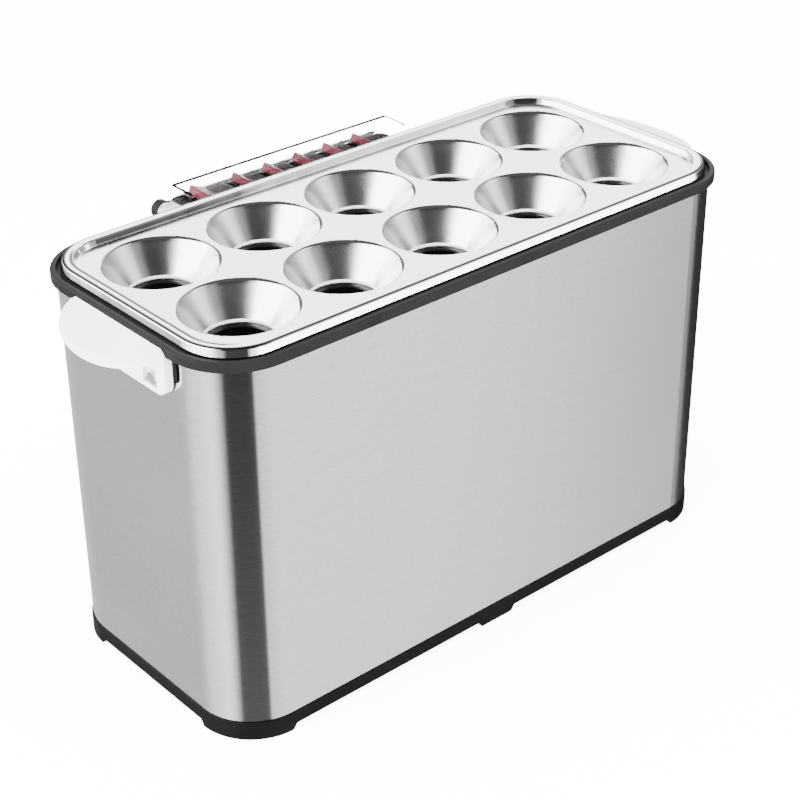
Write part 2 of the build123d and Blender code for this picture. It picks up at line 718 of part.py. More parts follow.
with BuildPart() as housing_screws:
    rounds_along_y(boss_xz, housing_screw_radius, inner_back, back_face + housing_screw_grip,
                   mode=Mode.ADD)
    rounds_along_y(boss_xz, housing_head_radius, inner_back - housing_head_height, inner_back,
                   mode=Mode.ADD)
write(housing_screws, "housing_screws")

# Switches: a bezelled body that drops into the panel, and a rocker on two trunnions
for switch_name, kind, pivot_x in switches:
    case_x = kind["length"] / 2 - bezel_overhang
    case_y = kind["width"] / 2 - bezel_overhang
    pocket_x = kind["radius"] + rocker_clear
    pocket_y = case_y - cheek
    rocker_y = pocket_y - rocker_clear
    trunnion_y = pocket_y + trunnion_length
    with BuildPart() as switch_body:
        block((pivot_x - case_x, pivot_x + case_x), (switch_y - case_y, switch_y + case_y),
              (panel_top - kind["depth"], panel_top))
        with BuildSketch(Plane.XY.offset(panel_top)) as bezel:
            with Locations((pivot_x, switch_y)):
                RectangleRounded(kind["length"], kind["width"], 2 * bezel_edge)
        extrude(bezel.sketch, amount=bezel_height)
        fillet(switch_body.faces().sort_by(Axis.Z)[-1].edges(), bezel_edge)
        pocket_floor = pivot_z - rocker_belly - kind["radius"] * sin(radians(rocker_tilt)) - rocker_clear
        block((pivot_x - pocket_x, pivot_x + pocket_x), (switch_y - pocket_y, switch_y + pocket_y),
              (pocket_floor, panel_top + bezel_height), mode=Mode.SUBTRACT)
        rounds_along_y([(pivot_x, pivot_z)], trunnion_radius + trunnion_clear,
                       switch_y - trunnion_y, switch_y + trunnion_y)
        blade_top = panel_top - kind["depth"]
        for column in range(kind["blades"]):
            blade_x = pivot_x + (column - (kind["blades"] - 1) / 2) * 2 * blade_width
            for side in (-1, 1):
                blade_y = switch_y + side * case_y / 2
                block((blade_x - blade_width / 2, blade_x + blade_width / 2),
                      (blade_y - blade_thick / 2, blade_y + blade_thick / 2),
                      (blade_top - blade_length, blade_top))
    body_name = "main_switch_body" if switch_name == "main" else f"switch_body_{switch_name[-1]}"
    write(switch_body, body_name)
    tilt = radians(rocker_tilt)
    top_angle = degrees(asin(kind["rise"] / kind["radius"]))
    low_angle = degrees(asin(rocker_belly / kind["radius"]))
    top_x = kind["radius"] * cos(radians(top_angle))
    low_x = kind["radius"] * cos(radians(low_angle))
    rocker_plane = Plane(origin=(pivot_x, switch_y + rocker_y, pivot_z),
                         x_dir=(cos(tilt), 0, -sin(tilt)), z_dir=(0, -1, 0))
    with BuildPart() as rocker:
        with BuildSketch(rocker_plane) as rocker_side:
            with BuildLine():
                Polyline((-top_x, kind["rise"]), (0, rocker_dip), (top_x, kind["rise"]))
                CenterArc((0, 0), kind["radius"], -low_angle, low_angle + top_angle)
                Line((low_x, -rocker_belly), (-low_x, -rocker_belly))
                CenterArc((0, 0), kind["radius"], 180 - top_angle, top_angle + low_angle)
            make_face()
        extrude(rocker_side.sketch, amount=2 * rocker_y)
        rounds_along_y([(pivot_x, pivot_z)], trunnion_radius,
                       switch_y - trunnion_y + trunnion_clear, switch_y + trunnion_y - trunnion_clear,
                       mode=Mode.ADD)
    rocker_name = "main_rocker" if switch_name == "main" else f"rocker_{switch_name[-1]}"
    write(rocker, rocker_name)

# Clear hood: a shallow cover with a leaning far wall, and its hinge barrel
hood_near_y = back_face + hood_near
hood_far_y = back_face + hood_far
hood_bottom = panel_top + hood_lift
hood_top = panel_top + hood_height + hood_lift
with BuildPart() as switch_hood:
    with BuildSketch(Plane.YZ.offset(hood_left)) as hood_side:
        with BuildLine():
            FilletPolyline((hood_near_y, hood_bottom), (hood_near_y, hood_top),
                           (hood_far_y - hood_slope, hood_top), (hood_far_y, hood_bottom),
                           radius=(hood_shoulder, hood_edge))
            Line((hood_far_y, hood_bottom), (hood_near_y, hood_bottom))
        make_face()
    extrude(hood_side.sketch, amount=hood_right - hood_left)
    hood_ends = switch_hood.faces().filter_by(Axis.X).edges()
    hood_floor = switch_hood.faces().sort_by(Axis.Z)[0].edges()
    fillet(hood_ends - hood_floor, hood_end_edge)
    with BuildSketch(Plane.YZ.offset(hood_left + hood_wall)) as hood_inside:
        with BuildLine():
            FilletPolyline((hood_near_y + hood_wall, hood_bottom),
                           (hood_near_y + hood_wall, hood_top - hood_wall),
                           (hood_far_y - hood_slope - hood_wall, hood_top - hood_wall),
                           (hood_far_y - hood_wall, hood_bottom),
                           radius=(hood_shoulder - hood_wall, hood_edge - hood_wall))
            Line((hood_far_y - hood_wall, hood_bottom), (hood_near_y + hood_wall, hood_bottom))
        make_face()
    extrude(hood_inside.sketch, amount=hood_right - hood_left - 2 * hood_wall, mode=Mode.SUBTRACT)
    block((hood_right - hood_wall, hood_right), (hood_near_y + apron_margin, hood_far_y - apron_margin),
          (panel_top - hood_apron, hood_bottom + hood_wall))
    rounds_along_y([(pin_x, pin_z)], barrel_radius, barrel_near, barrel_far, mode=Mode.ADD)
    web_bottom = panel_top + hood_lift
    block((pin_x, hood_left + hood_wall), (barrel_near, barrel_far), (web_bottom, web_bottom + web_thick))
    rounds_along_y([(pin_x, pin_z)], pin_radius + pin_clear, barrel_near, barrel_far)
write(switch_hood, "switch_hood")

with BuildPart() as hood_pin:
    rounds_along_y([(pin_x, pin_z)], pin_radius, ear_near + pin_end, ear_far + ear_thick - pin_end,
                   mode=Mode.ADD)
write(hood_pin, "hood_pin")

# Cord gland and its lock nut in the back of the shell
with BuildPart() as cord_gland:
    with BuildSketch(Plane.XZ.offset(-back_face)) as gland_face:
        with Locations((gland_x, gland_z)):
            RegularPolygon(gland_hex, 6)
    extrude(gland_face.sketch, amount=-gland_flange)
    dome_end = back_face + gland_flange + gland_dome
    rounds_along_y([(gland_x, gland_z)], gland_dome_radius, back_face + gland_flange, dome_end,
                   mode=Mode.ADD)
    fillet(cord_gland.faces().sort_by(Axis.Y)[-1].edges(), gland_dome_radius - gland_bore - 1)
    rounds_along_y([(gland_x, gland_z)], gland_thread, inner_back - gland_tail, back_face,
                   mode=Mode.ADD)
    seal_start = back_face + gland_seal_start
    rounds_along_y([(gland_x, gland_z)], gland_body_bore, inner_back - gland_tail, seal_start)
    rounds_along_y([(gland_x, gland_z)], gland_bore, seal_start, dome_end)
write(cord_gland, "cord_gland")

with BuildPart() as gland_nut:
    with BuildSketch(Plane.XZ.offset(-inner_back)) as nut_face:
        with Locations((gland_x, gland_z)):
            RegularPolygon(gland_hex, 6)
            Circle(gland_thread + thread_clear / 2, mode=Mode.SUBTRACT)
    extrude(nut_face.sketch, amount=gland_nut_thick)
write(gland_nut, "gland_nut")

# Terminal block on the base plate, with its screws
block_ends = (block_x - block_length / 2, block_x + block_length / 2)
block_sides = (block_y - block_width / 2, block_y + block_width / 2)
block_top = base_top + block_height
way_xs = [block_x + (way - (block_ways - 1) / 2) * block_pitch for way in range(block_ways)]
screw_xy = [(x, block_y + side * block_width / 4) for x in way_xs for side in (-1, 1)]
with BuildPart() as terminal_block:
    block(block_ends, block_sides, (base_top, block_top))
    rounds_along_y([(x, base_top + block_height / 2) for x in way_xs], way_radius, *block_sides)
    upright_holes(screw_xy, block_screw_radius + thread_clear, base_top + block_height / 2, block_top)
write(terminal_block, "terminal_block")

with BuildPart() as terminal_screws:
    upright_holes(screw_xy, block_screw_radius, block_top - block_screw_length, block_top,
                  mode=Mode.ADD)
write(terminal_screws, "terminal_screws")
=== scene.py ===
import json
import math
import bpy
import numpy as np
from mathutils import Matrix, Vector

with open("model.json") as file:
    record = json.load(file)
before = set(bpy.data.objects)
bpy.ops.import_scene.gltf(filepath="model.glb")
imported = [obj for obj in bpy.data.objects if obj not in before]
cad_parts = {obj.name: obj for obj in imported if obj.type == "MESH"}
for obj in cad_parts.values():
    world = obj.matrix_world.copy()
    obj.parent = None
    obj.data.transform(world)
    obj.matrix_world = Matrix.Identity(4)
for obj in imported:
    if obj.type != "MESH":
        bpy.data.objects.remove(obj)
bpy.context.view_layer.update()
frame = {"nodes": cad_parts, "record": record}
cadNodes = frame["nodes"]
print("frame loaded:", len(cadNodes), "nodes")

# Camera: stands left of the front corner, looking down on the top plate
cameraSet = {
    "place": (-0.6894, -0.8159, 0.7322),    # metres
    "azimuth": 40.726,      # degrees from +Y towards +X
    "elevation": 29.990,    # degrees down
    "roll": -0.544,         # degrees
    "lens": 85.11,          # mm
    "sensor": 36.0,         # mm across
    "near": 0.05,           # metres to the nearest and the farthest that it sees
    "far": 60.0,
}


def makeCamera(look):
    turn, drop = math.radians(look["azimuth"]), math.radians(look["elevation"])
    forward = Vector((math.sin(turn) * math.cos(drop), math.cos(turn) * math.cos(drop),
                      -math.sin(drop)))
    facing = forward.to_track_quat("-Z", "Y").to_matrix()
    facing = Matrix.Rotation(math.radians(-look["roll"]), 3, forward) @ facing
    lens = bpy.data.cameras.new("camera")
    lens.lens = look["lens"]
    lens.sensor_width = look["sensor"]
    lens.clip_start = look["near"]
    lens.clip_end = look["far"]
    camera = bpy.data.objects.new("camera", lens)
    camera.matrix_world = Matrix.Translation(look["place"]) @ facing.to_4x4()
    bpy.context.scene.collection.objects.link(camera)
    bpy.context.scene.camera = camera


makeCamera(cameraSet)
print("camera placed")

white = (1.0, 1.0, 1.0)


# Puts a number or a colour on a socket, or links another socket into it
def feed(tree, item, socket):
    if isinstance(item, bpy.types.NodeSocket):
        tree.links.new(item, socket)
    elif isinstance(item, tuple):
        socket.default_value = (*item, 1.0)
    else:
        socket.default_value = item


# One operation on two sockets or numbers
def mathOf(tree, operation, first, second=0.0):
    node = tree.nodes.new("ShaderNodeMath")
    node.operation = operation
    feed(tree, first, node.inputs[0])
    feed(tree, second, node.inputs[1])
    return node.outputs[0]


# Two numbers, or two colours, mixed by a value from 0 to 1; any of them may be a socket
def mixOf(tree, value, first, second, kind="FLOAT"):
    mix = tree.nodes.new("ShaderNodeMix")
    mix.data_type = kind
    for name, item in (("Factor", value), ("A", first), ("B", second)):
        feed(tree, item, mix.inputs[name])
    return mix.outputs["Result"]


def colorOf(tree, value, first, second):
    return mixOf(tree, value, first, second, "RGBA")


# A value carried from one range to another, and held inside it
def carryOf(tree, value, span, target=(0.0, 1.0), shape="LINEAR"):
    carry = tree.nodes.new("ShaderNodeMapRange")
    carry.interpolation_type = shape
    for name, number in zip(("From Min", "From Max", "To Min", "To Max"), (*span, *target)):
        carry.inputs[name].default_value = number
    tree.links.new(value, carry.inputs["Value"])
    return carry.outputs["Result"]


# From the first to the second, as a value rises smoothly over a span
def blendOf(tree, value, span, first, second):
    return mixOf(tree, carryOf(tree, value, span, shape="SMOOTHSTEP"), first, second)


# 1 at one spot along a value, falling to 0 over a span of distances from it
def lineAt(tree, value, spot, span):
    away = mathOf(tree, "ABSOLUTE", mathOf(tree, "SUBTRACT", value, spot))
    return blendOf(tree, away, span, 1.0, 0.0)


# Studio: a dome told by bearing, with pale walls, a band of panels above them, a dim ceiling and
# a plain table below. Angles are degrees: bearings from the front, right positive, and heights
# above the horizon.
domeSet = {
    "bright": 12.0,         # radiance of the brightest wall; all levels are shares of it
    # bearing and level
    "wall": [(-180, 0.30), (-165, 0.50), (-150, 0.75), (-118, 0.85), (-88, 0.60), (-60, 0.08),
             (-48, 0.006), (-16, 0.006), (-2, 0.30), (10, 1.00), (54, 0.95), (64, 0.06),
             (80, 0.05), (100, 0.04), (124, 0.02), (172, 0.02), (180, 0.30)],
    "table": [(-180, 0.085), (-145, 0.066), (-110, 0.145), (-82, 0.19), (-54, 0.004),
              (-10, 0.004), (-5, 0.12), (30, 0.150), (44, 0.150), (51, 0.055), (60, 0.030),
              (69, 0.004), (118, 0.003), (130, 0.06), (152, 0.11), (180, 0.085)],
    "panels": [(-180, 0.02), (-172, 0.30), (-163, 0.50), (-145, 0.75), (-125, 1.00),
               (-85, 1.00), (-70, 0.15), (-58, 0.004), (4, 0.004), (14, 0.030), (24, 0.040),
               (31, 0.030), (37, 0.15), (55, 0.22), (75, 0.07), (95, 0.04), (112, 0.10),
               (124, 0.42), (152, 0.42), (158, 0.02), (180, 0.02)],
    # heights over which one gives way to the next
    "carpet": (-41.0, -30.0),       # carpet to bare table
    "horizon": (-9.0, 1.0),         # table to wall
    "shelf": (5.0, 12.0),           # wall to panels
    "ceiling": (43.0, 56.0),        # panels to ceiling
    "carpetGlow": 0.016,    # least level on the carpet, at any bearing
    "overhead": 0.010,      # level of the ceiling
    "seen": 18.0,           # radiance that the camera sees past the floor
}


# A level by smooth steps between stops, read from a bearing in degrees
def levelOf(tree, bearing, stops):
    low, high = stops[0][0], stops[-1][0]
    band = tree.nodes.new("ShaderNodeValToRGB")
    band.color_ramp.interpolation = "EASE"
    ramp = band.color_ramp.elements
    while len(ramp) > 1:
        ramp.remove(ramp[-1])
    for number, (spot, level) in enumerate(stops):
        place = (spot - low) / (high - low)
        element = ramp[0] if number == 0 else ramp.new(place)
        element.position = place
        element.color = (level, level, level, 1.0)
    tree.links.new(carryOf(tree, bearing, (low, high)), band.inputs[0])
    return band.outputs["Color"]


def makeDome(look):
    world = bpy.data.worlds.new("studio")
    bpy.context.scene.world = world
    world.use_nodes = True
    tree = world.node_tree
    tree.nodes.clear()
    place = tree.nodes.new("ShaderNodeTexCoord")
    axes = tree.nodes.new("ShaderNodeSeparateXYZ")
    tree.links.new(place.outputs["Generated"], axes.inputs[0])
    height = axes.outputs["Z"]      # sine of the height above the horizon
    # bearing from the front: arctangent of X over minus Y
    toFront = mathOf(tree, "MULTIPLY", axes.outputs["Y"], -1.0)
    bearing = mathOf(tree, "ARCTAN2", axes.outputs["X"], toFront)
    degrees = mathOf(tree, "MULTIPLY", bearing, math.degrees(1.0))
    spans = {name: [math.sin(math.radians(angle)) for angle in look[name]]
             for name in ("carpet", "horizon", "shelf", "ceiling")}
    carpet = blendOf(tree, height, spans["carpet"], look["carpetGlow"], 0.0)
    glow = mathOf(tree, "MAXIMUM", levelOf(tree, degrees, look["table"]), carpet)
    glow = blendOf(tree, height, spans["horizon"], glow, levelOf(tree, degrees, look["wall"]))
    glow = blendOf(tree, height, spans["shelf"], glow, levelOf(tree, degrees, look["panels"]))
    glow = blendOf(tree, height, spans["ceiling"], glow, look["overhead"])
    pick = tree.nodes.new("ShaderNodeMixShader")
    rays = tree.nodes.new("ShaderNodeLightPath")
    tree.links.new(rays.outputs["Is Camera Ray"], pick.inputs[0])
    for slot, strength in ((1, mathOf(tree, "MULTIPLY", glow, look["bright"])), (2, look["seen"])):
        sky = tree.nodes.new("ShaderNodeBackground")
        feed(tree, white, sky.inputs["Color"])
        feed(tree, strength, sky.inputs["Strength"])
        tree.links.new(sky.outputs[0], pick.inputs[slot])
    done = tree.nodes.new("ShaderNodeOutputWorld")
    tree.links.new(pick.outputs[0], done.inputs["Surface"])


softboxSet = {
    "place": (-0.3, -0.3, 2.6), "aim": (0.0, 0.1, 0.0), "size": (3.2, 3.2),     # metres
    "power": 620.0,         # watts
}


# A soft lamp for the plain surfaces only, left out of the mirror images
def makeSoftbox(name, look):
    lamp = bpy.data.lights.new(name, "AREA")
    lamp.shape = "RECTANGLE"
    lamp.size, lamp.size_y = look["size"]
    lamp.energy = look["power"]
    box = bpy.data.objects.new(name, lamp)
    box.location = look["place"]
    facing = Vector(look["aim"]) - Vector(look["place"])
    box.rotation_euler = facing.to_track_quat("-Z", "Y").to_euler()
    box.visible_glossy = False
    box.visible_transmission = False
    bpy.context.scene.collection.objects.link(box)


makeDome(domeSet)
makeSoftbox("softbox_high", softboxSet)
print("studio lit")


def newMaterial(name):
    material = bpy.data.materials.new(name)
    material.use_nodes = True
    tree = material.node_tree
    return material, tree, tree.nodes["Principled BSDF"]


# The place on the object along X, Y and Z, in metres
def axesOf(tree):
    place = tree.nodes.new("ShaderNodeTexCoord")
    axes = tree.nodes.new("ShaderNodeSeparateXYZ")
    tree.links.new(place.outputs["Object"], axes.inputs[0])
    return axes.outputs["X"], axes.outputs["Y"], axes.outputs["Z"]


noiseSet = {
    "rough": 0.55,          # strength of each finer layer
    "reach": (0.3, 0.7),    # the range that noise seldom leaves
}


# Smooth noise; cells is how many there are in a metre, the same all ways or along X, Y and Z
def noiseOf(tree, cells, detail=3.0):
    place = tree.nodes.new("ShaderNodeTexCoord")
    fit = tree.nodes.new("ShaderNodeMapping")
    fit.inputs["Scale"].default_value = cells if isinstance(cells, tuple) else (cells,) * 3
    tree.links.new(place.outputs["Object"], fit.inputs["Vector"])
    noise = tree.nodes.new("ShaderNodeTexNoise")
    for name, number in (("Scale", 1.0), ("Detail", detail), ("Roughness", noiseSet["rough"])):
        noise.inputs[name].default_value = number
    tree.links.new(fit.outputs["Vector"], noise.inputs["Vector"])
    return noise.outputs["Fac"]


# Noise spread over a range of its own
def spread(tree, noise, low, high):
    return carryOf(tree, noise, noiseSet["reach"], (low, high))


# Relief from a height in metres
def bumpOf(tree, shader, height):
    bump = tree.nodes.new("ShaderNodeBump")
    for name in ("Distance", "Strength"):
        bump.inputs[name].default_value = 1.0
    tree.links.new(height, bump.inputs["Height"])
    tree.links.new(bump.outputs["Normal"], shader.inputs["Normal"])


scratchShares = (0.6, 0.4)  # strength of the fine and of the long scratches

# fine, long and cloud are noise cells in a metre, turn is in whole turns, depth is in metres
shellSet = {
    "dark": (0.62, 0.62, 0.63), "light": (0.80, 0.80, 0.81),
    "fine": (260.0, 260.0, 1500.0), "long": (26.0, 26.0, 2200.0), "cloud": (5.0, 5.0, 9.0),
    "rough": (0.15, 0.18), "stretch": 0.95, "turn": 0.25, "depth": 0.000012,
}
zincSet = {
    "dark": (0.50, 0.51, 0.53), "light": (0.66, 0.67, 0.69),
    "fine": (700.0, 700.0, 700.0), "long": (90.0, 90.0, 90.0), "cloud": (30.0, 30.0, 30.0),
    "rough": (0.32, 0.46), "stretch": 0.0, "depth": 0.00002,
}
heaterSet = {
    "dark": (0.30, 0.26, 0.20), "light": (0.50, 0.47, 0.42),
    "fine": (500.0, 500.0, 60.0), "long": (40.0, 40.0, 12.0), "cloud": (22.0, 22.0, 22.0),
    "rough": (0.34, 0.5), "stretch": 0.0, "depth": 0.00003,
}


# Sheet steel: noise stretched along the grain as scratches, with the mirror images drawn out
# across them on the shell
def makeBrushed(name, look):
    material, tree, shader = newMaterial(name)
    shader.inputs["Metallic"].default_value = 1.0
    fine = spread(tree, noiseOf(tree, look["fine"]), 0.0, scratchShares[0])
    long = spread(tree, noiseOf(tree, look["long"], detail=5.0), 0.0, scratchShares[1])
    cloud = noiseOf(tree, look["cloud"], detail=2.0)
    scratches = mathOf(tree, "ADD", fine, long)
    feed(tree, colorOf(tree, scratches, look["dark"], look["light"]), shader.inputs["Base Color"])
    feed(tree, spread(tree, cloud, *look["rough"]), shader.inputs["Roughness"])
    if look["stretch"]:
        shader.inputs["Anisotropic"].default_value = look["stretch"]
        shader.inputs["Anisotropic Rotation"].default_value = look["turn"]
        tangent = tree.nodes.new("ShaderNodeTangent")
        tangent.direction_type = "RADIAL"
        tangent.axis = "Z"
        tree.links.new(tangent.outputs["Tangent"], shader.inputs["Tangent"])
    bumpOf(tree, shader, mathOf(tree, "MULTIPLY", scratches, look["depth"]))
    return material


plateSet = {
    "dark": (0.78, 0.78, 0.785), "light": (0.88, 0.88, 0.88),
    "half": (0.1995, 0.0880), "corner": 0.034, "middle": -0.0159,   # outline, in metres
    "edgeSpan": (0.0008, 0.0022),       # distances in from the outline
    # heights, in metres, at which the level sheet, the dishes and their lips begin and end
    "levelAt": (0.2569, 0.2575), "dishAt": (0.2530, 0.2550), "lipFrom": (0.2548, 0.2554),
    "lipTo": (0.25635, 0.25648),
    # the painted shade lines and the painted reflection stripe: colours, distances in from the
    # outline, and places along X and Y
    "edgeShade": (0.03, 0.03, 0.032), "innerAt": 0.0050, "innerWidth": (0.0008, 0.0012),
    "innerSide": (-0.188, -0.176), "outerAt": 0.0010, "outerWidth": (0.0008, 0.0011),
    "reflectionStripe": (0.30, 0.30, 0.30), "stripeBack": (0.040, 0.050), "stripeFrom": (0.0054, 0.0060),
    "stripeTo": (0.0077, 0.0082), "stripeLeft": (-0.174, -0.168), "stripeRight": (-0.062, -0.050),
    # the painted highlight ring at each throat: its height, and how much of a metal it still is,
    # so that the soft lamp lights it bright
    "throatAt": 0.2365, "throatWidth": (0.0006, 0.0011), "throatHighlightMetal": 0.25,
    # roughness on the border, on the level sheet, and how much more in the dishes
    "polish": (0.03, 0.06), "satin": (0.16, 0.22), "dishMore": 0.06,
    "grain": 700.0, "cloud": 30.0, "wave": 38.0,            # noise cells in a metre
    "grainDepth": 0.000012, "waveDepth": 0.00035,           # metres
}


# Distance in from the plate's rounded outline: the corner radius less the length of what reaches
# past the corner's centre along X and Y
def insetOf(tree, side, depth, look):
    reaches = []
    for place, middle, half in zip((side, depth), (0.0, look["middle"]), look["half"]):
        away = mathOf(tree, "ABSOLUTE", mathOf(tree, "SUBTRACT", place, middle))
        past = mathOf(tree, "MAXIMUM", mathOf(tree, "SUBTRACT", away, half - look["corner"]), 0.0)
        reaches.append(mathOf(tree, "MULTIPLY", past, past))
    length = mathOf(tree, "SQRT", mathOf(tree, "ADD", *reaches))
    return mathOf(tree, "SUBTRACT", look["corner"], length)


# How satin the plate is: the level sheet and the dishes, but not the border or the dish lips
def satinOf(tree, inset, height, look):
    inside = blendOf(tree, inset, look["edgeSpan"], 0.0, 1.0)
    level = blendOf(tree, height, look["levelAt"], 1.0, 0.0)
    belowLip = blendOf(tree, height, look["lipFrom"], 1.0, 0.0)
    aboveLip = blendOf(tree, height, look["lipTo"], 0.0, 1.0)
    return mathOf(tree, "MULTIPLY", mathOf(tree, "MULTIPLY", inside, level),
                  mathOf(tree, "ADD", belowLip, aboveLip))


# Painted shade: dark lines on the border along its rim, and at its inner step on the left end,
# standing in for the dark that its rounded edges reflect
def edgeShadeOf(tree, inset, side, height, look):
    inner = mathOf(tree, "MULTIPLY", lineAt(tree, inset, look["innerAt"], look["innerWidth"]),
                   blendOf(tree, side, look["innerSide"], 1.0, 0.0))
    outer = lineAt(tree, inset, look["outerAt"], look["outerWidth"])
    raised = blendOf(tree, height, look["levelAt"], 0.0, 1.0)
    return mathOf(tree, "MULTIPLY", mathOf(tree, "MAXIMUM", inner, outer), raised)


# Painted reflection: a darker stripe on the inner step, along the left of the back, where the step
# mirrors dark
def reflectionStripeOf(tree, inset, side, depth, look):
    reflectionStripe = blendOf(tree, depth, look["stripeBack"], 0.0, 1.0)
    for value, span, first in ((inset, "stripeFrom", 0.0), (inset, "stripeTo", 1.0),
                               (side, "stripeLeft", 0.0), (side, "stripeRight", 1.0)):
        part = blendOf(tree, value, look[span], first, 1.0 - first)
        reflectionStripe = mathOf(tree, "MULTIPLY", reflectionStripe, part)
    return reflectionStripe


# Pressed steel: polished round the border, skirt and dish lips, satin on the level sheet, duller
# in the dishes, with painted shade lines on the border, a painted dark reflection stripe on the
# back step, a painted highlight ring at each throat, and shallow waves from pressing
def makePressed(name, look):
    material, tree, shader = newMaterial(name)
    side, depth, height = axesOf(tree)
    inset = insetOf(tree, side, depth, look)
    grain = noiseOf(tree, look["grain"])
    cloud = noiseOf(tree, look["cloud"])
    wave = noiseOf(tree, look["wave"], detail=1.0)
    steel = colorOf(tree, spread(tree, cloud, 0.0, 1.0), look["dark"], look["light"])
    # painted dark reflection stripe on the back step
    steel = colorOf(tree, reflectionStripeOf(tree, inset, side, depth, look), steel, look["reflectionStripe"])
    # painted shade lines along the border's edges
    steel = colorOf(tree, edgeShadeOf(tree, inset, side, height, look), steel, look["edgeShade"])
    feed(tree, steel, shader.inputs["Base Color"])
    dish = blendOf(tree, height, look["dishAt"], 1.0, 0.0)
    satin = mathOf(tree, "ADD", spread(tree, cloud, *look["satin"]),
                   mathOf(tree, "MULTIPLY", dish, look["dishMore"]))
    rough = mixOf(tree, satinOf(tree, inset, height, look),
                  spread(tree, cloud, *look["polish"]), satin)
    feed(tree, rough, shader.inputs["Roughness"])
    # painted highlight: the throat ring is less metallic, so that the soft lamp lights it bright
    throatHighlight = lineAt(tree, height, look["throatAt"], look["throatWidth"])
    metal = blendOf(tree, throatHighlight, (0.0, 1.0), 1.0, look["throatHighlightMetal"])
    feed(tree, metal, shader.inputs["Metallic"])
    bumpOf(tree, shader, mathOf(tree, "ADD", mathOf(tree, "MULTIPLY", grain, look["grainDepth"]),
                                mathOf(tree, "MULTIPLY", wave, look["waveDepth"])))
    return material


# grain and cloud are noise cells in a metre; depth is in metres; shine is the specular level
mouldedSet = {
    "rim": {"dark": (0.004, 0.004, 0.0043), "light": (0.008, 0.008, 0.0085),
            "rough": (0.40, 0.52), "shine": 0.04,
            "grain": 2200.0, "cloud": 35.0, "depth": 0.00002},
    "base": {"dark": (0.001, 0.001, 0.0012), "light": (0.003, 0.003, 0.0033),
             "rough": (0.40, 0.55), "shine": 0.05,
             "grain": 1800.0, "cloud": 30.0, "depth": 0.00003},
    "pad": {"dark": (0.001, 0.001, 0.001), "light": (0.003, 0.003, 0.003),
            "rough": (0.6, 0.75), "shine": 0.05,
            "grain": 1500.0, "cloud": 40.0, "depth": 0.00004},
    "tube": {"dark": (0.0012, 0.0012, 0.0012), "light": (0.0030, 0.0030, 0.0030),
             "rough": (0.16, 0.26), "shine": 0.35,
             "grain": 1200.0, "cloud": 60.0, "depth": 0.00002},
    "handle": {"dark": (0.55, 0.55, 0.55), "light": (0.62, 0.62, 0.62),
               "rough": (0.28, 0.38), "shine": 0.5,
               "grain": 900.0, "cloud": 40.0, "depth": 0.00001,
               # light that goes in under the surface: its share, and its reach in metres
               "under": 0.15, "underReach": (0.004, 0.004, 0.004), "underScale": 0.4},
    "switch": {"dark": (0.0015, 0.0015, 0.0018), "light": (0.004, 0.004, 0.0045),
               "rough": (0.22, 0.32), "shine": 0.12,
               "grain": 2400.0, "cloud": 90.0, "depth": 0.00001},
    "rocker": {"dark": (0.110, 0.016, 0.027), "light": (0.155, 0.026, 0.042),
               "rough": (0.30, 0.42), "shine": 0.05,
               "grain": 1500.0, "cloud": 120.0, "depth": 0.00001,
               # painted shade over the pressed half of each rocker, from its pivot on, as shares
               # of the pitch
               "pressed": (0.022, 0.010, 0.014), "halfFrom": (0.0, 0.04), "halfTo": (0.46, 0.49),
               "pivotAt": -0.0299, "pitch": 0.0248},
    "block": {"dark": (0.74, 0.73, 0.68), "light": (0.82, 0.81, 0.77),
              "rough": (0.35, 0.45), "shine": 0.5,
              "grain": 1200.0, "cloud": 60.0, "depth": 0.00001},
}
mouldedSet["mainRocker"] = {**mouldedSet["rocker"], "pivotAt": -0.0592, "pitch": 0.034}


# Painted shade: a colour darkened over the pressed half of each rocker, the half right of its
# pivot
def pressedHalf(tree, color, look):
    fromPivot = mathOf(tree, "SUBTRACT", axesOf(tree)[0], look["pivotAt"])
    share = mathOf(tree, "FRACT", mathOf(tree, "DIVIDE", fromPivot, look["pitch"]))
    half = mathOf(tree, "MULTIPLY", blendOf(tree, share, look["halfFrom"], 0.0, 1.0),
                  blendOf(tree, share, look["halfTo"], 1.0, 0.0))
    return colorOf(tree, half, color, look["pressed"])


# Plastic or rubber with a fine grain, faint clouding and dulled patches, and on the rockers
# painted shade over the pressed half
def makeMoulded(name, look):
    material, tree, shader = newMaterial(name)
    cloud = noiseOf(tree, look["cloud"])
    color = colorOf(tree, cloud, look["dark"], look["light"])
    if "pressed" in look:
        # painted shade over the pressed half of each rocker
        color = pressedHalf(tree, color, look)
    feed(tree, color, shader.inputs["Base Color"])
    feed(tree, spread(tree, cloud, *look["rough"]), shader.inputs["Roughness"])
    shader.inputs["Specular IOR Level"].default_value = look["shine"]
    if "under" in look:
        shader.inputs["Subsurface Weight"].default_value = look["under"]
        shader.inputs["Subsurface Radius"].default_value = look["underReach"]
        shader.inputs["Subsurface Scale"].default_value = look["underScale"]
    bumpOf(tree, shader, mathOf(tree, "MULTIPLY", noiseOf(tree, look["grain"]), look["depth"]))
    return material


hoodSet = {
    # line and lineWidth: colour and fall-off of the painted shade along the top edges
    "tint": (0.97, 0.97, 0.975), "line": (0.0, 0.0, 0.0), "lineWidth": (0.0019, 0.0022),
    # places along Y, X, X and Z, in metres
    "farEdge": 0.1034, "rightEdge": (0.0893, 0.0897), "leftEdge": (-0.0828, -0.0824),
    "topFrom": (0.2576, 0.2582),
    "barrelAt": (-0.0864, -0.0856), "crackle": 420.0, "crackleDetail": 5.0,
    "barrelDark": (0.10, 0.10, 0.10), "barrelLight": (0.80, 0.80, 0.80), "barrelClear": 0.45,
    "rough": (0.02, 0.06), "bend": 1.05,
}
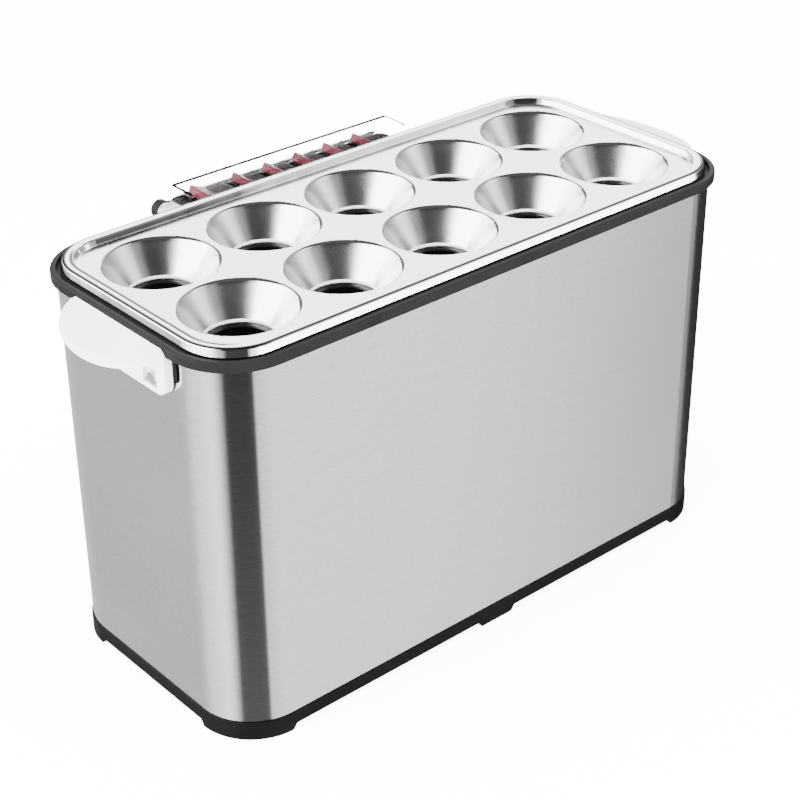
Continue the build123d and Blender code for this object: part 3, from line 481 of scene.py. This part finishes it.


# Clear plastic with painted dark lines at the far and end top edges, standing in for the shade
# seen where light runs along the sheet, and a crackled pale barrel at the hinge
def makeClear(name, look):
    material, tree, shader = newMaterial(name)
    side, depth, height = axesOf(tree)
    # painted shade along the right, left and far top edges
    paintedEdgeShade = mathOf(tree, "MAXIMUM", blendOf(tree, side, look["rightEdge"], 0.0, 1.0),
                   blendOf(tree, side, look["leftEdge"], 1.0, 0.0))
    paintedEdgeShade = mathOf(tree, "MAXIMUM", lineAt(tree, depth, look["farEdge"], look["lineWidth"]), paintedEdgeShade)
    paintedEdgeShade = mathOf(tree, "MULTIPLY", paintedEdgeShade, blendOf(tree, height, look["topFrom"], 0.0, 1.0))
    barrel = blendOf(tree, side, look["barrelAt"], 1.0, 0.0)
    crackle = noiseOf(tree, look["crackle"], detail=look["crackleDetail"])
    crackle = spread(tree, crackle, 0.0, 1.0)
    body = colorOf(tree, paintedEdgeShade, look["tint"], look["line"])
    pale = colorOf(tree, crackle, look["barrelDark"], look["barrelLight"])
    feed(tree, colorOf(tree, barrel, body, pale), shader.inputs["Base Color"])
    clear = blendOf(tree, barrel, (0.0, 1.0), 1.0, look["barrelClear"])
    feed(tree, clear, shader.inputs["Transmission Weight"])
    feed(tree, spread(tree, crackle, *look["rough"]), shader.inputs["Roughness"])
    shader.inputs["IOR"].default_value = look["bend"]
    return material


steels = {
    "shell": makeBrushed("shell_steel", shellSet),
    "plate": makePressed("plate_steel", plateSet),
    "zinc": makeBrushed("zinc_sheet", zincSet),
    "heater": makeBrushed("heater_sleeve", heaterSet),
}
moulded = {name: makeMoulded(name + "_finish", look) for name, look in mouldedSet.items()}

# Finish of each material slot of the record; a node's own name comes before its slot
finishOf = {
    **steels, **moulded, "sheet": steels["zinc"], "screw": steels["zinc"],
    "housing": moulded["rim"], "gland": moulded["base"], "main_rocker": moulded["mainRocker"],
    "hood": makeClear("hood_clear", hoodSet),
}
slotOf = {row["node"]: row["material_slot"] for row in frame["record"]["subparts"]}
for name, node in cadNodes.items():
    node.data.materials.clear()
    node.data.materials.append(finishOf.get(name, finishOf[slotOf[name]]))
print("finishes made")

# Floor: a plain pale sheet, kept out of the mirror images so that the dome shows in the steel
floorSet = {
    "reach": 5.0,           # metres each way
    "cells": 24,            # faces along a side
    "dark": (0.88, 0.88, 0.88), "light": (0.91, 0.91, 0.91), "cloud": 2.0, "cloudDetail": 4.0,
    "rough": 0.9, "shine": 0.1, "glow": 9.0,
}


# A flat square grid of points about the origin, at height zero
def makeFloor(look):
    count = look["cells"] + 1
    line = np.linspace(-look["reach"], look["reach"], count)
    across, along = np.meshgrid(line, line)
    points = np.stack([across.ravel(), along.ravel(), np.zeros(count * count)], axis=1)
    step = np.arange(look["cells"])
    first = (step[:, None] * count + step[None, :]).ravel()
    faces = np.stack([first, first + 1, first + count + 1, first + count], axis=1)
    mesh = bpy.data.meshes.new("floor")
    mesh.from_pydata(points.tolist(), [], faces.tolist())
    floor = bpy.data.objects.new("floor", mesh)
    bpy.context.scene.collection.objects.link(floor)
    material, tree, shader = newMaterial("floor_paper")
    cloud = noiseOf(tree, look["cloud"], detail=look["cloudDetail"])
    feed(tree, colorOf(tree, cloud, look["dark"], look["light"]), shader.inputs["Base Color"])
    feed(tree, white, shader.inputs["Emission Color"])
    for name, value in (("Roughness", "rough"), ("Specular IOR Level", "shine"),
                        ("Emission Strength", "glow")):
        shader.inputs[name].default_value = look[value]
    mesh.materials.append(material)
    floor.visible_glossy = False


makeFloor(floorSet)
print("floor laid")
